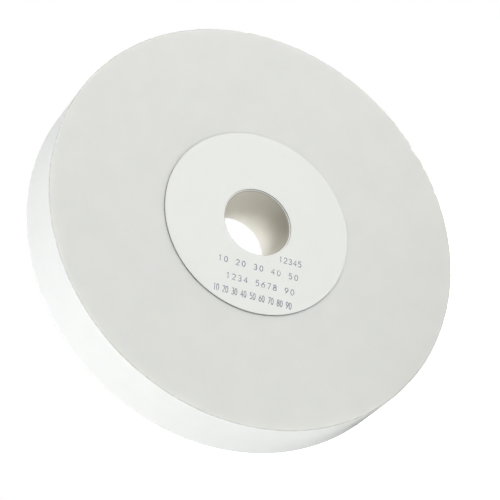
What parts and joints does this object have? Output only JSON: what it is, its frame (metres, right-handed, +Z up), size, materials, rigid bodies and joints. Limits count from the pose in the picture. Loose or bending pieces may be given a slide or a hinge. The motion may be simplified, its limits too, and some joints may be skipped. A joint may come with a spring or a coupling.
{
  "type": "straight grinding wheel",
  "caption": "Straight vitrified white alumina grinding wheel: a flat abrasive ring with a lined bore and a paper blotter on each side, for a bench grinder.",
  "frame": {"origin": "the wheel's centre: on the bore's axis, half way through its thickness", "axes": "+Y along the bore's axis, from the printed front face to the rear face; +Z up, with the wheel standing upright as on a grinder's spindle; +X to the right seen from the front"},
  "size_m": [0.2, 0.0312, 0.2],
  "materials": {
    "abrasive": "fine-grained porous white vitrified alumina, dressed flat, matte",
    "bush": "smooth moulded plastic, satin",
    "blotter_paper": "matte uncoated white paper, the front one stamped with plain numbers"
  },
  "bodies": {
    "root": {"abrasive_body": "abrasive", "bore_bush": "bush", "front_blotter": "blotter_paper", "rear_blotter": "blotter_paper"}
  },
  "joints": []
}
